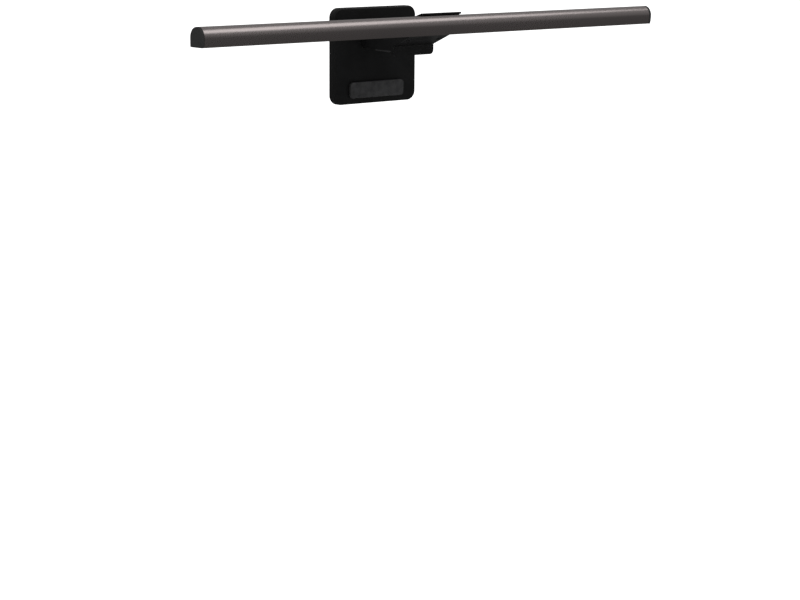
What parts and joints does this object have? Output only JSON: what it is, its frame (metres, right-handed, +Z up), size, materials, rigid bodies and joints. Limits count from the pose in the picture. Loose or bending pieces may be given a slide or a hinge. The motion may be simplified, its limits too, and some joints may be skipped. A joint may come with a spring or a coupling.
{
  "type": "monitor light bar",
  "caption": "Slim metal lamp bar on a hooked clip that hangs over a monitor's top edge, with a tilting bar and a swinging rear counterweight unit.",
  "frame": {"origin": "middle of the underside of the top rest pad, on the monitor's top edge", "axes": "+X along the bar towards its right end seen from the front, +Y from the bar to the back of the monitor, +Z up"},
  "size_m": [0.5, 0.105, 0.0845],
  "materials": {
    "anodised_shell": "satin gunmetal anodised",
    "cap_plastic": "fine matt texture",
    "diffuser": "opal, satin",
    "clip_plastic": "fine matt texture",
    "silicone": "soft matt",
    "steel": "plain",
    "dark_fasteners": "black oxide",
    "cast_blocks": "as cast zinc",
    "circuit_board": "solder mask",
    "led_phosphor": "phosphor gel",
    "wire_jacket": "matt"
  },
  "bodies": {
    "clip": {"clip_base": "clip_plastic", "clip_cover": "clip_plastic", "lip_pad": "silicone", "top_rest_pad": "silicone", "arm_core": "steel", "tilt_ear_left": "steel", "tilt_ear_right": "steel", "hinge_pin_left": "dark_fasteners", "hinge_pin_right": "dark_fasteners", "ear_screw_left": "dark_fasteners", "ear_screw_right": "dark_fasteners", "cover_screw_front_left": "dark_fasteners", "cover_screw_front_right": "dark_fasteners", "cover_screw_back_left": "dark_fasteners", "cover_screw_back_right": "dark_fasteners", "clip_wire": "wire_jacket"},
    "bar": {"bar_shell": "anodised_shell", "end_cap_left": "cap_plastic", "end_cap_right": "cap_plastic", "light_diffuser": "diffuser", "led_board": "circuit_board", "led_strip": "led_phosphor", "tilt_shaft_left": "steel", "tilt_shaft_right": "steel", "shaft_block_left": "cast_blocks", "shaft_block_right": "cast_blocks", "tilt_washer_left": "steel", "tilt_washer_right": "steel", "bar_wire": "wire_jacket"},
    "rear_unit": {"rear_front_shell": "clip_plastic", "rear_back_cover": "clip_plastic", "back_pad": "silicone", "hinge_washer_left": "steel", "hinge_washer_right": "steel", "rear_wire": "wire_jacket", "back_screw_top_left": "dark_fasteners", "back_screw_top_right": "dark_fasteners", "back_screw_bottom_left": "dark_fasteners", "back_screw_bottom_right": "dark_fasteners", "back_light_diffuser": "diffuser", "back_light_board": "circuit_board", "back_light_strip": "led_phosphor", "counterweight_left": "steel", "counterweight_right": "steel", "weight_screw_left": "dark_fasteners", "weight_screw_right": "dark_fasteners", "control_board": "circuit_board", "inlet_shell": "steel", "inlet_tongue": "clip_plastic"}
  },
  "joints": [
    {"name": "bar_tilt", "type": "hinge", "parent": "clip", "child": "bar", "pos_m": [0, -0.0562, 0.0245], "axis": [1, 0, 0], "range_deg": [-20, 20]},
    {"name": "rear_arm", "type": "hinge", "parent": "clip", "child": "rear_unit", "pos_m": [0, 0.0277, 0.005], "axis": [1, 0, 0], "range_deg": [-25, 15]}
  ]
}
